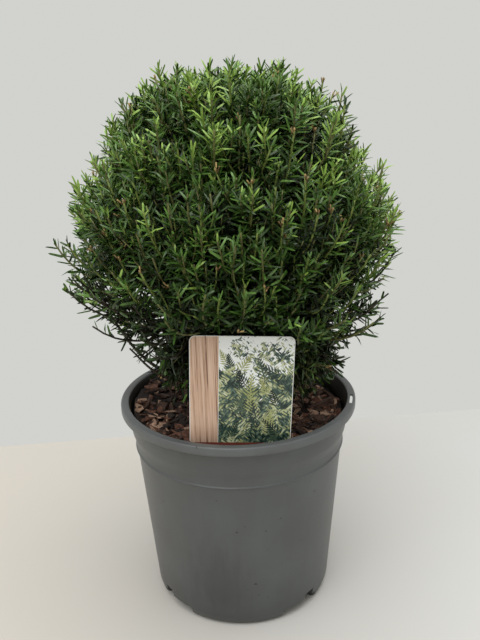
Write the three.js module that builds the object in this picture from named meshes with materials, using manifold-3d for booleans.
// Potted yew ball: a small clipped yew in a grey plastic nursery pot, with potting mix, a bark mulch
// and a printed plant label. Millimetres, +Z up, front along -Y. The origin is the centre of the
// pot's footprint, on the surface that the pot stands on.
import * as THREE from 'three';
import { mergeVertices } from 'three/addons/utils/BufferGeometryUtils.js';
import Module from 'manifold-3d';

const wasm = await Module();
wasm.setup();

// Driving dimensions

const GAP = 0.3; // between pieces that touch on the real plant
const ROUND = 40; // facets round the pot and its filling

const RIM_RADIUS = 110;
const POT_HEIGHT = 198;
const FOOT_RADIUS = 80.4;
const FOOT_HEIGHT = 10;
const FOOT_WIDTH = 6.5;
const WALL = 1.8;
const BASE_RADIUS = 85.5;
const COLLAR_BOTTOM = 163; // height where the stacking collar steps out of the wall
const LIP_HEIGHT = 8;
const LIP_WALL = 1.8; // the lip turns down over a hollow
const SLOT = { azimuth: 78, length: 19, width: 2.6, radius: 106.1 }; // the hanger hooks into it
const ARCHES = 4;
const ARCH_ANGLE = 28; // degrees of the foot ring that each arch takes
const ARCH_MIDDLE = 40; // degrees from the front to the first arch
const PAD_RADIUS = 44; // of the flat middle of the pot's underside
const DRAIN = { turn: 6, width: 12, height: 7, radius: 81.5 }; // turn: degrees from an arch's middle
const FLOOR_HOLE = { radius: 6, from: 58 }; // from: distance from the pot's axis

const SOIL_TOP = 176;
const MULCH_DEPTH = 5;
const CHIPS = 17;
// The mulch is banked up against the wall on the left: degrees, and millimetres from the pot's axis
const HEAP = { azimuth: -105, width: 50, height: 11, from: 52 };

const LABEL = { width: 84, top: 106, shoulder: 5, corner: 5, thickness: 0.8, stake: 24, depth: 60 };
const LABEL_AT = new THREE.Vector3(0, -86.6, 182);
const LABEL_LEAN = 3; // degrees towards the front
const LABEL_ROLL = 2.6; // degrees clockwise, seen from the front
const LABEL_CLEAR = { front: 78, side: 50, top: 293 }; // foliage stays out of this space

const SECTORS = ['front', 'front_right', 'back_right', 'back', 'back_left', 'front_left'];
const TRUNK = { flare: 12, radius: 8.4, head: 12, headTop: 5.5, headLow: 194, top: 203 };
const BOUGH = { base: 3.9, tip: 3.1, radius: 30, height: 238 };

const BALL_CENTRE = 352; // height of the ball's centre
const CORE_SHARE = 0.77; // of the ball's radius that the dense inside fills
const CORE_LOW = 250; // height of the underside of the dense inside
const SPACE_GAP = 1.2; // each mass keeps this far inside its own space
const INNER = { radius: 16, height: 235, spread: 0.3 }; // the six-sided space of the top mass
const SHOOTS = 127;
// Shoots that clipping missed, and eight that hang into the pot: azimuth, polar angle, reach
const STRAYS = [
  [-76, 89, 164], [-76, 77, 146], [92, 84, 157], [-60, 13, 147], [150, 14, 150], [100, 24, 155],
  [71, 145, 160], [50, 141, 150], [84, 148, 158], [102, 142, 164], [76, 151, 168], [-66, 152, 156],
  [-46, 143, 146], [-74, 154, 164],
];
// Where clipping left one side of the ball fuller or flatter: azimuth, polar angle, height
const UNEVEN = [[90, 58, -8], [90, 29, -6], [90, 116, 6], [-85, 106, 7], [-80, 127, -9]];
const UNEVEN_WIDTH = { azimuth: 35, polar: 8 };
const BLADE = { thickness: 1.4, spine: 1.8, pairs: 3, needle: 25, angle: 58, first: 0.4 };
const SLANT = { start: 0.69, drop: 30 }; // a shoot starts this share out, and this many degrees lower
const LOW_SHOOTS = 124; // polar angle from which shoots start on their mass's stem

// Helpers

const rad = THREE.MathUtils.degToRad;
const clamp = THREE.MathUtils.clamp;
const vec = (x, y, z) => new THREE.Vector3(x, y, z);

// A repeatable stream of numbers from 0 to 1 (a 32-bit multiply and shift generator).
function seeded(seed) {
  let state = seed;
  return () => {
    state = (state + 0x6d2b79f5) | 0;
    let t = Math.imul(state ^ (state >>> 15), 1 | state);
    t = (t + Math.imul(t ^ (t >>> 7), 61 | t)) ^ t;
    return ((t ^ (t >>> 14)) >>> 0) / 4294967296;
  };
}

// A closed geometry as a solid that can be joined and cut.
function solid(geometry) {
  const bare = geometry.clone();
  bare.deleteAttribute('normal');
  bare.deleteAttribute('uv');
  const merged = mergeVertices(bare, 1e-3);
  return new wasm.Manifold(new wasm.Mesh({
    numProp: 3,
    vertProperties: new Float32Array(merged.attributes.position.array),
    triVerts: new Uint32Array(merged.index.array),
  }));
}

// The largest body of a solid, as a geometry: loose scraps are dropped.
function geometryOf(made) {
  const body = made.decompose().sort((a, b) => b.volume() - a.volume())[0];
  const mesh = body.getMesh();
  const geometry = new THREE.BufferGeometry();
  geometry.setAttribute('position', new THREE.BufferAttribute(mesh.vertProperties, 3));
  geometry.setIndex(new THREE.BufferAttribute(mesh.triVerts, 1));
  geometry.computeVertexNormals();
  return geometry;
}

// A turned piece about +Z. The profile is a list of [radius, height], bottom of the axis first.
function turned(profile, sides = ROUND) {
  const points = profile.map(([r, z]) => new THREE.Vector2(r, z));
  return new THREE.LatheGeometry(points, sides).rotateX(Math.PI / 2);
}

// A tapering limb: a capped cylinder bent along a smooth curve through the points.
function limb(points, startRadius, endRadius, sides, steps) {
  const curve = new THREE.CatmullRomCurve3(points);
  const frames = curve.computeFrenetFrames(steps);
  const geometry = new THREE.CylinderGeometry(endRadius, startRadius, 1, sides, steps);
  const position = geometry.attributes.position;
  for (let i = 0; i < position.count; i++) {
    const t = clamp(position.getY(i) + 0.5, 0, 1);
    const n = Math.round(t * steps);
    const p = curve.getPointAt(t)
      .addScaledVector(frames.normals[n], position.getX(i))
      .addScaledVector(frames.binormals[n], -position.getZ(i));
    position.setXYZ(i, p.x, p.y, p.z);
  }
  return geometry;
}

// Unit direction at an azimuth from the front (degrees, towards +X) and a polar angle from +Z.
function direction(azimuth, polar) {
  const a = rad(azimuth);
  const p = rad(polar);
  return vec(Math.sin(p) * Math.sin(a), -Math.sin(p) * Math.cos(a), Math.cos(p));
}

// Pot

// The outside of the wall, from the foot's outer edge up to the lip.
function wallOutside() {
  return [
    [FOOT_RADIUS, 0],
    [FOOT_RADIUS + 3.2, 3],
    [BASE_RADIUS, 9],
    [97.6, COLLAR_BOTTOM - 10],
    [98.5, COLLAR_BOTTOM - 8.6],
    [98.2, COLLAR_BOTTOM - 6.4],
    [98.6, COLLAR_BOTTOM],
    [101.2, COLLAR_BOTTOM + 8],
    [103, POT_HEIGHT - LIP_HEIGHT],
  ];
}

// The inside of the wall, from just above the floor up to the lip.
function wallInside() {
  const [base, shoulder, step, collar, lip] = [2, 3, 6, 7, 8].map((i) => wallOutside()[i]);
  base[1] = FOOT_HEIGHT + 5;
  return [base, shoulder, step, collar, lip].map(([r, z]) => [r - WALL, z]);
}

function potGeometry() {
  const floor = FOOT_HEIGHT + 1;
  const profile = [
    [0, 0],
    [PAD_RADIUS, 0],
    [PAD_RADIUS + 3, floor],
    [FOOT_RADIUS - FOOT_WIDTH - 2, floor],
    [FOOT_RADIUS - FOOT_WIDTH, 0],
    ...wallOutside(),
    [103.4, POT_HEIGHT - LIP_WALL],
    [RIM_RADIUS - LIP_WALL, POT_HEIGHT - LIP_WALL],
    [RIM_RADIUS - LIP_WALL, POT_HEIGHT - LIP_HEIGHT],
    [RIM_RADIUS - 0.6, POT_HEIGHT - LIP_HEIGHT],
    [RIM_RADIUS, POT_HEIGHT - LIP_HEIGHT + 1],
    [RIM_RADIUS, POT_HEIGHT - 1.4],
    [RIM_RADIUS - 1, POT_HEIGHT],
    [103.4, POT_HEIGHT],
    [102.6, POT_HEIGHT - 1],
    ...wallInside().reverse(),
    [BASE_RADIUS - WALL - 2, floor + WALL],
    [PAD_RADIUS + 1, floor + WALL],
    [PAD_RADIUS - 2, WALL],
    [0, WALL],
  ];
  let pot = solid(turned(profile));
  for (let i = 0; i < ARCHES; i++) {
    const azimuth = ARCH_MIDDLE + i * 360 / ARCHES;
    const hole = drainHole(azimuth + (i % 2 ? -DRAIN.turn : DRAIN.turn));
    pot = pot.subtract(archCut(azimuth)).subtract(hole).subtract(floorHole(azimuth));
  }
  return geometryOf(pot.subtract(hangerSlot()));
}

// An arch through the foot ring, as wide as its share of the ring.
function archCut(azimuth) {
  const width = 2 * FOOT_RADIUS * Math.sin(rad(ARCH_ANGLE / 2));
  const box = new THREE.BoxGeometry(width, FOOT_WIDTH + 14, 2 * FOOT_HEIGHT);
  box.translate(0, -(FOOT_RADIUS - FOOT_WIDTH / 2 + 2), 0);
  return solid(box.rotateZ(rad(azimuth)));
}

// A drain hole through the lowest corner of the wall, open to the arch below it.
function drainHole(azimuth) {
  const box = new THREE.BoxGeometry(DRAIN.width, 16, DRAIN.height);
  box.translate(0, -DRAIN.radius, FOOT_HEIGHT + DRAIN.height / 2 - 1);
  return solid(box.rotateZ(rad(azimuth)));
}

// A round drain hole through the pot's floor.
function floorHole(azimuth) {
  const { radius, from } = FLOOR_HOLE;
  const hole = new THREE.CylinderGeometry(radius, radius, 20, 10).rotateX(Math.PI / 2);
  hole.translate(0, -from, FOOT_HEIGHT);
  return solid(hole.rotateZ(rad(azimuth)));
}

// The slot through the top of the lip that a hanger hooks into.
function hangerSlot() {
  const box = new THREE.BoxGeometry(SLOT.length, SLOT.width, 2 * LIP_HEIGHT);
  return solid(box.translate(0, -SLOT.radius, POT_HEIGHT).rotateZ(rad(SLOT.azimuth)));
}

// Inside radius of the pot at a height.
function insideRadius(z) {
  const wall = wallInside();
  const above = wall.findIndex((p) => p[1] >= z);
  const [r0, z0] = wall[above - 1];
  const [r1, z1] = wall[above];
  return r0 + (r1 - r0) * (z - z0) / (z1 - z0);
}

// Potting mix, mulch and label

// The slit that the label's stake makes, with a little room round it.
function stakeSlit() {
  const slit = new THREE.BoxGeometry(LABEL.stake + 1, LABEL.thickness + 0.8, 2 * LABEL.depth);
  return solid(placedLabel(slit));
}

function soilGeometry() {
  const floor = FOOT_HEIGHT + 1 + WALL;
  const side = [20, COLLAR_BOTTOM - 10, COLLAR_BOTTOM, SOIL_TOP];
  const profile = [
    [0, WALL + GAP],
    [PAD_RADIUS - 3, WALL + GAP],
    [PAD_RADIUS, floor + GAP],
    [BASE_RADIUS - WALL - 3, floor + GAP],
    ...side.map((z) => [insideRadius(z) - 2 * GAP, z]),
    [0, SOIL_TOP],
  ];
  return geometryOf(solid(turned(profile, ROUND / 2)).subtract(stakeSlit()));
}

// One chip of bark: a tilted slab with skewed ends, half sunk in the mulch.
function chip(random, azimuth, radius) {
  const length = 10 + 14 * random();
  const width = 5 + 5 * random();
  const slab = new THREE.Shape([
    new THREE.Vector2(-length / 2, -width / 2),
    new THREE.Vector2(length / 2 - 3, -width / 2),
    new THREE.Vector2(length / 2, width * 0.3),
    new THREE.Vector2(-length / 3, width / 2),
  ]);
  const geometry = new THREE.ExtrudeGeometry(slab, { depth: 3, bevelEnabled: false });
  geometry.translate(0, 0, -1.5);
  geometry.rotateX((random() - 0.5) * 0.7);
  geometry.rotateY((random() - 0.5) * 0.5);
  geometry.rotateZ(random() * 2 * Math.PI);
  const at = direction(azimuth, 90).multiplyScalar(radius);
  return geometry.translate(at.x, at.y, SOIL_TOP + MULCH_DEPTH + heap(azimuth, radius) + 0.6);
}

// How much higher the mulch lies at a place.
function heap(azimuth, radius) {
  const turn = (azimuth - HEAP.azimuth + 540) % 360 - 180;
  const climb = clamp((radius - HEAP.from) / (insideRadius(SOIL_TOP) - HEAP.from), 0, 1);
  return HEAP.height * Math.exp(-((turn / HEAP.width) ** 2)) * climb ** 1.4;
}

function mulchGeometry() {
  const random = seeded(7);
  const low = SOIL_TOP + GAP;
  const high = SOIL_TOP + MULCH_DEPTH;
  const hole = TRUNK.flare + 2;
  const outer = insideRadius(low) - 2 * GAP;
  const middle = (outer + HEAP.from) / 2;
  const top = [[outer, high], [middle, high], [HEAP.from, high], [hole, high]];
  const ring = turned([[hole, low], [outer, low], ...top, [hole, low]]);
  const position = ring.attributes.position;
  for (let i = 0; i < position.count; i++) {
    const [x, y, z] = [position.getX(i), position.getY(i), position.getZ(i)];
    const azimuth = THREE.MathUtils.radToDeg(Math.atan2(x, -y));
    if (z > high - 0.01) position.setZ(i, z + heap(azimuth, Math.hypot(x, y)));
  }
  let mulch = solid(ring);
  for (let i = 0; i < CHIPS; i++) {
    const azimuth = i * 137.5;
    const radius = 30 + 52 * Math.sqrt((i + 0.5) / CHIPS);
    const nearLabel = direction(azimuth, 90).multiplyScalar(radius).y < -60;
    const made = solid(chip(random, azimuth, radius));
    if (!nearLabel) mulch = mulch.add(made);
  }
  return geometryOf(mulch.subtract(stakeSlit()));
}

// Moves a geometry made about the label's foot, in the XZ plane, to where the label stands.
function placedLabel(geometry) {
  geometry.rotateY(rad(LABEL_ROLL)).rotateX(rad(LABEL_LEAN));
  return geometry.translate(LABEL_AT.x, LABEL_AT.y, LABEL_AT.z);
}

// A flat card with rounded upper corners, narrowed to a pointed stake below.
function labelGeometry() {
  const half = LABEL.width / 2;
  const stake = LABEL.stake / 2;
  const c = LABEL.corner;
  const card = new THREE.Shape();
  card.moveTo(0, -LABEL.depth + 4);
  card.lineTo(stake, -LABEL.depth + 18);
  card.lineTo(stake, LABEL.shoulder - 3);
  card.lineTo(half - 6, LABEL.shoulder);
  card.lineTo(half, LABEL.shoulder + 6);
  card.lineTo(half, LABEL.top - c);
  card.absarc(half - c, LABEL.top - c, c, 0, Math.PI / 2);
  card.lineTo(-half + c, LABEL.top);
  card.absarc(-half + c, LABEL.top - c, c, Math.PI / 2, Math.PI);
  card.lineTo(-half, LABEL.shoulder + 6);
  card.lineTo(-half + 6, LABEL.shoulder);
  card.lineTo(-stake, LABEL.shoulder - 3);
  card.lineTo(-stake, -LABEL.depth + 18);
  const options = { depth: LABEL.thickness, bevelEnabled: false, curveSegments: 5 };
  const plate = new THREE.ExtrudeGeometry(card, options);
  plate.translate(0, 0, -LABEL.thickness / 2).rotateX(Math.PI / 2);
  return geometryOf(solid(placedLabel(plate)));
}

// Trunk and boughs

const FACET_NORMAL = Math.atan2(TRUNK.head - TRUNK.headTop, TRUNK.top - TRUNK.headLow);

// A short stem with root flare, ending in a six-faced head that the boughs spring from.
function trunkGeometry() {
  const low = SOIL_TOP + GAP;
  const stem = turned([
    [0, low], [TRUNK.flare, low], [TRUNK.flare - 2.4, low + 4], [TRUNK.radius, low + 10],
    [TRUNK.radius - 0.4, TRUNK.headLow], [0, TRUNK.headLow],
  ], 12);
  const corner = 1 / Math.cos(Math.PI / 6);
  const head = turned([
    [0, TRUNK.headLow - 8], [TRUNK.radius * 0.8, TRUNK.headLow - 8],
    [TRUNK.head * corner, TRUNK.headLow], [TRUNK.headTop * corner, TRUNK.top], [0, TRUNK.top],
  ], 6).rotateZ(Math.PI / 6);
  return geometryOf(solid(stem).add(solid(head)));
}

// The centre line of the bough of one sector: square off its facet, then bending upwards.
function boughPath(azimuth) {
  const out = direction(azimuth, 90);
  const facet = out.clone().multiplyScalar((TRUNK.head + TRUNK.headTop) / 2);
  facet.z = (TRUNK.headLow + TRUNK.top) / 2;
  const square = out.clone().multiplyScalar(Math.cos(FACET_NORMAL));
  square.z = Math.sin(FACET_NORMAL);
  const start = facet.addScaledVector(square, GAP);
  const second = start.clone().addScaledVector(square, 5);
  const bend = start.clone().addScaledVector(square, 14).add(vec(0, 0, 5));
  const tip = out.clone().multiplyScalar(BOUGH.radius).setZ(BOUGH.height);
  return [start, second, bend, tip];
}

// The leader runs straight up out of the trunk's top.
function leaderPath() {
  return [vec(0, 0, TRUNK.top + GAP), vec(0.6, 0, TRUNK.top + 20), vec(0, 0, BOUGH.height + 14)];
}

// Where the stem inside a mass runs: on from its bough's tip into the dense inside.
function stemPath(azimuth) {
  const out = direction(azimuth, 90);
  const path = boughPath(azimuth);
  const tip = path[3];
  const curve = new THREE.CatmullRomCurve3(path);
  const start = tip.clone().addScaledVector(curve.getTangentAt(1), GAP);
  return [start, out.clone().multiplyScalar(47).setZ(272), out.clone().multiplyScalar(70).setZ(318)];
}

const LIMBS = [
  leaderPath(),
  ...SECTORS.map((name, i) => boughPath(i * 60)),
].map((path) => new THREE.CatmullRomCurve3(path).getSpacedPoints(14));

// Crown

// Radius of the clipped ball at a polar angle: nearly round, with a hollow in the top, a fuller
// ring round it, a dip at the shoulder, a fuller ring low down and a flatter underside.
function ballRadius(polar) {
  const swell = (middle, width) => Math.exp(-(((polar - middle) / width) ** 2));
  const high = 6 * swell(22, 16) - 14 * swell(0, 11) - 7 * swell(58, 9);
  return 144 + high + 6 * swell(112, 12) - 4 * swell(140, 15);
}

// Radius at a place of the clipped surface, with the places that clipping left uneven.
function clippedRadius(azimuth, polar) {
  let radius = ballRadius(polar);
  for (const [a, p, height] of UNEVEN) {
    const round = ((azimuth - a + 540) % 360 - 180) / UNEVEN_WIDTH.azimuth;
    const down = (polar - p) / UNEVEN_WIDTH.polar;
    radius += height * Math.exp(-(round ** 2) - down ** 2);
  }
  return radius;
}

// How far a point is inside the space of a mass: the space's flat sides are tested one by one.
function roomIn(sector, p) {
  const inner = INNER.radius + (p.z - INNER.height) * INNER.spread;
  const along = (i) => p.dot(direction(i * 60, 90)) - inner;
  if (sector < 0) return -Math.max(...SECTORS.map((name, i) => along(i)));
  const left = p.dot(direction(sector * 60 - 30 + 90, 90));
  const right = p.dot(direction(sector * 60 + 30 - 90, 90));
  return Math.min(along(sector), left, right);
}

// The label, the pot and the limbs are kept clear of foliage.
function clearOfOthers(p) {
  const label = p.y < -LABEL_CLEAR.front && Math.abs(p.x) < LABEL_CLEAR.side && p.z < LABEL_CLEAR.top;
  const across = Math.hypot(p.x, p.y);
  const pot = p.z < (across > 92 ? POT_HEIGHT + 6 : SOIL_TOP + MULCH_DEPTH + 8);
  const limbs = LIMBS.some((points) => points.some((q) => q.distanceTo(p) < BOUGH.base + 3));
  return !label && !pot && !limbs;
}

const fits = (sector, p) => roomIn(sector, p) > SPACE_GAP && clearOfOthers(p);

// The mass that a point of the ball's surface belongs to: -1 is the top.
function sectorOf(p) {
  if (roomIn(-1, p) > 0) return -1;
  return SECTORS.findIndex((name, i) => roomIn(i, p) > 0);
}

// Where a shoot starts: in the dense inside, or for the lowest ones on the mass's stem.
function shootStart(sector, azimuth, polar) {
  const centre = vec(0, 0, BALL_CENTRE);
  if (sector < 0) {
    const out = direction(azimuth, Math.min(polar * 1.5, 40));
    return centre.addScaledVector(out, SLANT.start * ballRadius(polar));
  }
  if (polar > LOW_SHOOTS) {
    const stem = new THREE.CatmullRomCurve3(stemPath(sector * 60));
    return stem.getPointAt(clamp(0.62 - (polar - LOW_SHOOTS) / 45, 0.08, 0.62));
  }
  const low = clamp(polar + SLANT.drop * Math.sin(rad(polar)), 62, 132);
  const middle = sector * 60 + clamp((azimuth - sector * 60 + 540) % 360 - 180, -24, 24);
  return centre.addScaledVector(direction(middle, low), SLANT.start * ballRadius(low));
}

// A shoot of yew as a toothed blade: a narrow spine with needles on both sides and one at the tip.
// Needles that would leave the mass's space are shortened, or skipped where little would be left.
function shoot(sector, start, tip, roll) {
  const along = tip.clone().sub(start);
  const length = along.length();
  along.normalize();
  const side = vec(0, 0, 1).cross(along).add(vec(1e-4, 0, 0)).normalize().applyAxisAngle(along, roll);
  const frame = new THREE.Matrix4().makeBasis(along, side, along.clone().cross(side)).setPosition(start);
  const placed = (x, y) => vec(x, y, 0).applyMatrix4(frame);
  const spine = BLADE.spine;
  const first = length * BLADE.first;
  const step = (length - first - 4) / BLADE.pairs;
  const needle = (x, sign, r) => [
    x + 2 + r * Math.cos(rad(BLADE.angle)),
    sign * (spine + r * Math.sin(rad(BLADE.angle))),
  ];
  const edge = (sign) => {
    const points = [];
    for (let i = 0; i < BLADE.pairs; i++) {
      const x = first + i * step + (sign > 0 ? 0 : step / 2);
      const full = BLADE.needle * (1 - 0.28 * (i / (BLADE.pairs - 1)) ** 2);
      const free = (r) => fits(sector, placed(...needle(x, sign, r)));
      const reach = [1, 0.8, 0.6, 0.42].find((share) => [0.5, 0.75, 1].every((t) => free(full * share * t)));
      if (reach) points.push([x, sign * spine], needle(x, sign, full * reach));
    }
    return points;
  };
  const outline = [
    [0, -spine], ...edge(-1), [length - 3, -spine], [length + 8, 0], [length - 3, spine],
    ...edge(1).reverse(), [0, spine],
  ];
  const samples = [0.3, 0.5, 0.7, 0.85, 1].map((t) => placed(t * (length + 8), 0));
  if (!samples.every((p) => fits(sector, p))) return null;
  const shape = new THREE.Shape(outline.map(([x, y]) => new THREE.Vector2(x, y)));
  const blade = new THREE.ExtrudeGeometry(shape, { depth: BLADE.thickness, bevelEnabled: false });
  return blade.translate(0, 0, -BLADE.thickness / 2).applyMatrix4(frame);
}

// The dense inside of the whole ball, lumpy, before it is cut into the masses' spaces.
function denseBall() {
  const ball = new THREE.SphereGeometry(1, 26, 14).rotateX(Math.PI / 2);
  const position = ball.attributes.position;
  for (let i = 0; i < position.count; i++) {
    const p = vec(position.getX(i), position.getY(i), position.getZ(i));
    const lump = Math.sin(5.2 * p.x + 2 * p.z) * Math.sin(4.6 * p.y - 1) * Math.sin(6 * p.z + 2);
    const polar = THREE.MathUtils.radToDeg(Math.acos(clamp(p.z, -1, 1)));
    p.multiplyScalar(CORE_SHARE * ballRadius(polar) * (1 + 0.07 * lump));
    position.setXYZ(i, p.x, p.y, p.z + BALL_CENTRE);
  }
  return solid(ball);
}

// The six-sided space of the top mass, made wider or narrower by a margin.
function topSpace(margin, low) {
  const high = BALL_CENTRE + 160;
  const side = (z) => (INNER.radius + (z - INNER.height) * INNER.spread + margin) / Math.cos(Math.PI / 6);
  return solid(turned([[0, low], [side(low), low], [side(high), high], [0, high]], 6).rotateZ(Math.PI / 6));
}

// The wedge of space of one outer mass, over its flat underside.
function wedgeSpace(sector) {
  const far = 200;
  const near = SPACE_GAP / Math.sin(rad(30));
  const half = (far - near) * Math.tan(rad(30));
  const wedge = new THREE.Shape([
    new THREE.Vector2(0, -near),
    new THREE.Vector2(-half, -far),
    new THREE.Vector2(half, -far),
  ]);
  const prism = new THREE.ExtrudeGeometry(wedge, { depth: 300, bevelEnabled: false });
  return solid(prism.translate(0, 0, CORE_LOW).rotateZ(rad(sector * 60))).subtract(topSpace(SPACE_GAP, 200));
}

// The space that the label stands in, kept free in front of the crown.
function labelSpace() {
  return solid(new THREE.BoxGeometry(LABEL.width + 14, 90, 130).translate(LABEL_AT.x, -126, 230));
}

const DENSE = denseBall();

function core(sector) {
  if (sector < 0) return DENSE.intersect(topSpace(-SPACE_GAP, BOUGH.height + 26));
  return DENSE.intersect(wedgeSpace(sector)).subtract(labelSpace());
}

// Every shoot of the ball as [azimuth, polar angle, reach, roll]: spread evenly by the golden angle.
function allShoots() {
  const random = seeded(41);
  const made = [];
  for (let i = 0; i < SHOOTS; i++) {
    const polar = THREE.MathUtils.radToDeg(Math.acos(1 - 1.9 * (i + 0.5) / SHOOTS));
    const azimuth = (i * 137.508) % 360;
    const out = 1 + 0.05 * (random() - 0.5) + (random() < 0.08 ? 0.08 : 0);
    made.push([azimuth, polar, (clippedRadius(azimuth, polar) - 8) * out, (random() - 0.5) * 1.2]);
  }
  return [...made, ...STRAYS.map(([azimuth, polar, reach]) => [azimuth, polar, reach - 8, 1.4])];
}

// The shoots whose tips lie in one mass's space, each as long as it may be there.
function shootsOf(sector) {
  const blades = [];
  for (const [azimuth, polar, radius, roll] of allShoots()) {
    const tip = direction(azimuth, polar).multiplyScalar(radius).add(vec(0, 0, BALL_CENTRE));
    if (sectorOf(tip) !== sector) continue;
    const start = shootStart(sector, azimuth, polar);
    const made = [1, 0.93, 0.86].map((share) => shoot(sector, start, start.clone().lerp(tip, share), roll));
    const longest = made.find((blade) => blade);
    if (longest) blades.push(longest);
  }
  return blades;
}

function massGeometry(sector) {
  const top = BOUGH.height + 14 + GAP;
  const stem = sector < 0
    ? limb([vec(0, 0, top), vec(0, 0.5, top + 30), vec(0, 0, top + 90)], 2.8, 2, 6, 3)
    : limb(stemPath(sector * 60), 2.8, 2, 6, 4);
  let mass = core(sector).add(solid(stem));
  for (const blade of shootsOf(sector)) mass = mass.add(solid(blade));
  return geometryOf(mass);
}

// Materials and assembly

const material = (color, roughness) => new THREE.MeshStandardMaterial({ color, roughness, metalness: 0 });
const PLASTIC = material('#5d605f', 0.55);
const SOIL = material('#2c211b', 1);
const BARK_CHIPS = material('#5c3f2f', 0.95);
const CARD = material('#dcdcd6', 0.4);
const BARK = material('#5a4636', 0.9);
const NEEDLES = material('#33501f', 0.55);

const plant = new THREE.Group();

function place(name, geometry, look) {
  const mesh = new THREE.Mesh(geometry, look);
  mesh.name = name;
  plant.add(mesh);
}

place('pot', potGeometry(), PLASTIC);
place('potting_mix', soilGeometry(), SOIL);
place('bark_mulch', mulchGeometry(), BARK_CHIPS);
place('plant_label', labelGeometry(), CARD);
place('trunk', trunkGeometry(), BARK);
place('bough_leader', limb(leaderPath(), BOUGH.base, BOUGH.tip, 8, 4), BARK);
place('foliage_top', massGeometry(-1), NEEDLES);
SECTORS.forEach((name, i) => {
  place(`bough_${name}`, limb(boughPath(i * 60), BOUGH.base, BOUGH.tip, 8, 5), BARK);
  place(`foliage_${name}`, massGeometry(i), NEEDLES);
});

export default plant;
